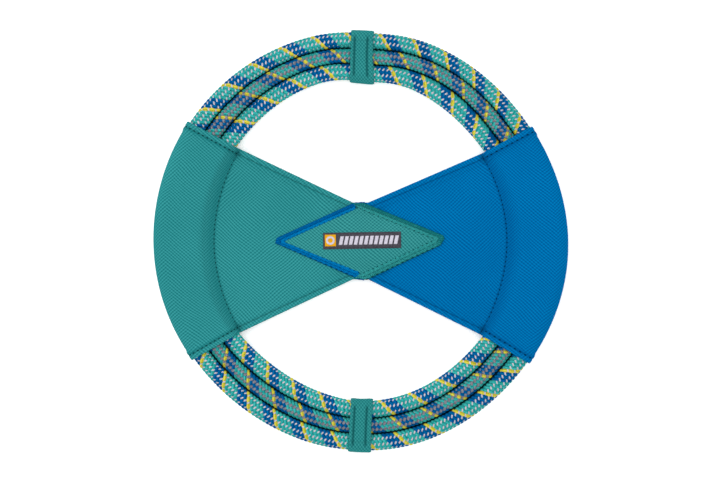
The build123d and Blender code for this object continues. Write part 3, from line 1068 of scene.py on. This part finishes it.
def label_finish(name, dark, light):
    """Satin-woven label cloth: fine ribs across, finer ones along, a little uneven."""
    material, shader = new_finish(name, 0.45, specular=0.1)
    x, y = read_map(material, "label")
    ribs = maths("SINE", x * (2 * np.pi / 0.42))
    picks = maths("SINE", y * (2 * np.pi / 0.3))
    weave = picks * 0.6 + ribs
    share = ramp(weave * 0.16 + mottle(material, 1300, 3.0), 0.15, 0.85)
    paint(shader, blend_colours(share, dark, light), weave, 0.03)
    return material


def make_woven(name, x, y, height, thickness, material):
    """Flat woven shapes on the label, one or more grids of x and y, given their thickness."""
    points, faces, pairs = join_meshes([
        (
            on_label(grid_x, grid_y, height).reshape(-1, 3),
            grid_faces(*grid_x.shape).tolist(),
            np.stack([grid_x, grid_y], -1).reshape(-1, 2),
        )
        for grid_x, grid_y in zip(x, y)
    ])
    piece = make_piece(name, points, faces, material, {"label": pairs})
    give_wall(piece, thickness, -1)
    stand_for(piece, "label")


down, right = np.meshgrid(np.linspace(0.5, -0.5, 22), np.linspace(-0.5, 0.5, 120), indexing="ij")
ground_x = right * (label_size[0] + 0.10 * np.sin(down * 190))
ground_y = down * (label_size[1] + 0.09 * np.sin(right * 300))
pillow = 0.14 * (1 - (2 * right) ** 8) * (1 - (2 * down) ** 6)
make_woven(
    "label_ground", [ground_x], [ground_y], 0.26 + pillow, 0.26,
    label_finish("label_grey", dyed(54, 50, 60), dyed(92, 90, 100)),
)

# The mark: a yellow square with a plain pale ring on it.
down, right = np.meshgrid(np.linspace(3.65, -3.05, 14), np.linspace(-21.3, -15.0, 14), indexing="ij")
make_woven(
    "label_square", [right], [down], 0.44, 0.1,
    label_finish("label_yellow", dyed(244, 166, 0), dyed(255, 192, 8)),
)
label_white = label_finish("label_white", dyed(206, 200, 220), dyed(244, 240, 252))
turn = np.linspace(0, 2 * np.pi, 49)[None, :]
girth = np.linspace(2.5, 1.35, 4)[:, None]
make_woven(
    "label_ring", [-18.15 + girth * np.sin(turn)], [0.3 + girth * np.cos(turn)], 0.5, 0.1,
    label_white,
)

# The row of slanted bars beside it.
bar_pitch = 2.86
bar_width = 2.0
bar_slant = 1.1
bar_count = 12
bar_foot, bar_head = -2.35, 2.6
high, wide = np.meshgrid(
    np.linspace(bar_head, bar_foot, 8), np.linspace(0, bar_width, 5), indexing="ij")
lean = bar_slant * (high - bar_foot) / (bar_head - bar_foot)
bars = [-13.4 + bar_pitch * k + wide + lean for k in range(bar_count)]
make_woven("label_bars", bars, bar_count * [high], 0.48, 0.1, label_white)

# A row of stitches runs round the label, a little way in from its edges.
row_corner = np.array(label_size) / 2 - (0.7, 0.6)
corners = np.array([(-1, 1), (1, 1), (1, -1), (-1, -1), (-1, 1)]) * row_corner
label_runs = []
for start, end in zip(corners[:-1], corners[1:]):
    line = np.linspace(start, end, 60)
    places = on_label(line[:, 0], line[:, 1], 0.3)
    outward = np.broadcast_to((0.0, 0.0, 1.0), places.shape)
    reach = np.linalg.norm(end - start)
    label_runs.append(sew_line(places, outward, np.linspace(0, reach, 60), 2.2, 0.06))
label_stitches = make_stitches(
    "label_stitches", label_runs, 0.8, 0.14,
    thread_finish("label_sewing_thread", dyed(58, 50, 60), dyed(88, 80, 92)),
)
stand_for(label_stitches, "label_thread")

# --------------------------------------------------------------------------- the two wraps
# A band of the same cloth, folded to two plies, is drawn tight round the three ropes at the
# top and at the bottom of the ring, and sewn through between the ropes in two rows.

wrap_clearance = 0.12
wrap_thickness = 0.95
wrap_edges = {  # x of the left and right edge, by the ring's outside and by its inside
    "top": ((-5.3, 7.8), (-6.2, 7.8)),
    "bottom": ((-7.1, 6.0), (-5.5, 7.1)),
}
wrap_rows = {"top": (-0.66, 0.47), "bottom": (-0.62, 0.5)}  # of the two stitch rows
wrap_row_depth = 0.55
wrap_bow = {"top": 0.7, "bottom": 0.3}  # how far the right edge is drawn in at its middle
wrap_pitch = 2.8


def wrap_loop(count):
    """The way round the three ropes, as (radius, height) and outward direction: flat above
    and below, and round each outer side, at even steps."""
    bends = []
    for rope, start in (("outer", 90), ("inner", 270)):
        centre, half_width, half_height = ropes[rope]
        turn = np.radians(np.linspace(start, start - 180, 40))
        bends.append(np.stack([
            centre + (half_width + wrap_clearance) * np.cos(turn),
            (half_height + wrap_clearance) * np.sin(turn),
        ], -1))
    line = np.concatenate([bends[0], bends[1], bends[0][:1]])
    length = running_length(line)
    even = np.linspace(0, length[-1], count, endpoint=False)
    line = at_lengths(line, length, even)
    ahead = unit(np.roll(line, -1, axis=0) - np.roll(line, 1, axis=0))
    return line, np.stack([-ahead[:, 1], ahead[:, 0]], -1), even


def wrap_section(rows):
    """Closed section of the band, as (share across from -1 to 1, height), with the part of the
    height that the rows of stitches draw in: a soft-edged double ply with a flat inside."""
    share = np.sin(np.linspace(-0.5, 0.5, 49) * np.pi)
    top = wrap_thickness * (0.25 + 0.75 * (1 - share ** 12) ** 0.5)
    drawn = np.zeros(49)
    for row in rows:
        drawn = drawn + wrap_row_depth * np.exp(-(((share - row) / 0.13) ** 2))
        drawn = drawn - 0.12 * np.exp(-(((share - row) / 0.3) ** 2))
    inside = np.linspace(0.98, -0.98, 12)
    none = np.zeros(12)
    return np.concatenate([share, inside]), np.concatenate([top, none]), np.concatenate([drawn, none])


# The band's grooves get painted shade where the stitch rows draw it in.
wrap_cloth = cloth_finish(
    "wrap_cloth", dyed(14, 108, 110), dyed(66, 168, 166), dyed(4, 66, 72),
    pitches=(0.92, 1.06), leaning=(1.0, 0.1), grooved=True,
)
wrap_thread = thread_finish("wrap_sewing_thread", dyed(10, 84, 88), dyed(36, 124, 124))
wrap_count = 150

for end, sign in (("top", 1), ("bottom", -1)):
    loop, away, around = wrap_loop(wrap_count)
    share, height, drawn = wrap_section(wrap_rows[end])
    level = np.clip((np.abs(away[:, 1:]) - 0.86) / 0.12, 0, 1)
    outside, inside = (np.array(pair) for pair in wrap_edges[end])
    place = np.clip((loop[:, 0] - 90) / 28, 0, 1)[:, None]
    left = inside[0] + (outside[0] - inside[0]) * place
    right = inside[1] + (outside[1] - inside[1]) * place - wrap_bow[end] * 4 * place * (1 - place)
    pinch = 0.12 * np.sin(2 * np.pi * around / 3.1 + 0.6)[:, None] * np.abs(share) ** 3
    ridge = np.exp(-(((np.abs(share) - 0.55) / 0.2) ** 2))
    crimp = 0.05 * np.sin(2 * np.pi * around / wrap_pitch)[:, None] * ridge
    x = (left + right) / 2 + share * ((right - left) / 2 + pinch)
    drawn = drawn * level
    lifted = height - drawn + crimp * (height > 0.2)
    radius = loop[:, :1] + away[:, :1] * lifted
    z = middle_height + loop[:, 1:] + away[:, 1:] * lifted
    theta = np.degrees(np.arcsin(x / radius)) * sign + (0 if sign > 0 else 180)
    out = ring_radius(radius, theta)
    y = sign * np.sqrt(out ** 2 - x ** 2)
    points = np.stack([x, y, z], -1)
    flat = np.stack(np.broadcast_arrays(sign * x, around[:, None] + np.zeros_like(x)), -1)
    # The drawn map tells the cloth where its grooves get painted shade.
    wrap = make_piece(
        f"{end}_cloth_wrap",
        points,
        grid_faces(*x.shape, True, True)[:, ::sign].tolist(),
        wrap_cloth,
        {"weave": flat, "drawn": np.stack([drawn, drawn], -1)},
    )
    stand_for(wrap, f"{end}_wrap")

    runs = []
    for row in wrap_rows[end]:
        column = np.argmin(np.abs(share[:49] - row))
        line = points[:, column]
        for up in (1, -1):
            chosen = np.nonzero(away[:, 1] * up > 0.97)[0]
            outward = np.broadcast_to((0.0, 0.0, float(up)), (len(chosen), 3))
            length = around[chosen] - around[chosen[0]]
            runs.append(sew_line(line[chosen], outward, length, wrap_pitch, 0.08))
    stitches = make_stitches(f"{end}_wrap_stitches", runs, 1.1, stitch_girth, wrap_thread)
    stand_for(stitches, f"{end}_wrap_thread")

# --------------------------------------------------------------------------- trims on each face
# The trims that lie on each face are gathered in lists that nothing here uses. The cloths
# are drawn tight but not stretched. The panels are cut as two fans joined at the rim, the
# bands are two-ply.

made = bpy.data.objects
for face in face_signs:
    trims = [made[f"{face}_{colour}_binding"] for colour in binding_edges]
    trims += [made[f"{face}_{colour}_binding_stitches"] for colour in binding_edges]
    if face == "front":
        trims += [made[f"label_{part}"] for part in ("ground", "square", "ring", "bars", "stitches")]

# ------------------------------------------------------------------ floor, light, camera
# A plain pale floor under the ring, an even soft studio light from above with a little more
# from the upper left, and a camera that looks straight down.

floor_finish, floor_shader = new_finish("pale_floor", 0.9)
floor_shader.inputs["Base Color"].default_value = (0.96, 0.96, 0.96, 1)
floor_shader.inputs["Emission Color"].default_value = (1, 1, 1, 1)
floor_shader.inputs["Emission Strength"].default_value = 0.25  # a sheet lit from below as well
bpy.ops.mesh.primitive_plane_add(size=6)
floor = bpy.context.object
floor.name = "floor"
floor.data.materials.append(floor_finish)

world = bpy.data.worlds.new("studio")
world.use_nodes = True
world.node_tree.nodes["Background"].inputs["Color"].default_value = (1, 1, 1, 1)
world.node_tree.nodes["Background"].inputs["Strength"].default_value = 1.1
bpy.context.scene.world = world


def soft_lamp(name, place, size, watts):
    """A square lamp that faces the middle of the ring."""
    data = bpy.data.lights.new(name, "AREA")
    data.size = size
    data.energy = watts
    lamp = bpy.data.objects.new(name, data)
    lamp.location = place
    away = np.array(place) / np.linalg.norm(place)
    lamp.rotation_euler = (np.arccos(away[2]), 0, np.arctan2(away[0], -away[1]))
    bpy.context.collection.objects.link(lamp)


soft_lamp("overhead_lamp", (-0.1, 0.15, 1.9), 1.2, 9)
soft_lamp("side_lamp", (-1.1, 0.9, 1.0), 0.6, 6)

camera_data = bpy.data.cameras.new("camera")
camera_data.sensor_width = 36
camera_data.lens = 130.33
camera = bpy.data.objects.new("camera", camera_data)
camera.location = (-0.00029, -0.00029, 1.5)
bpy.context.collection.objects.link(camera)
bpy.context.scene.camera = camera
bpy.context.scene.view_settings.view_transform = "Standard"
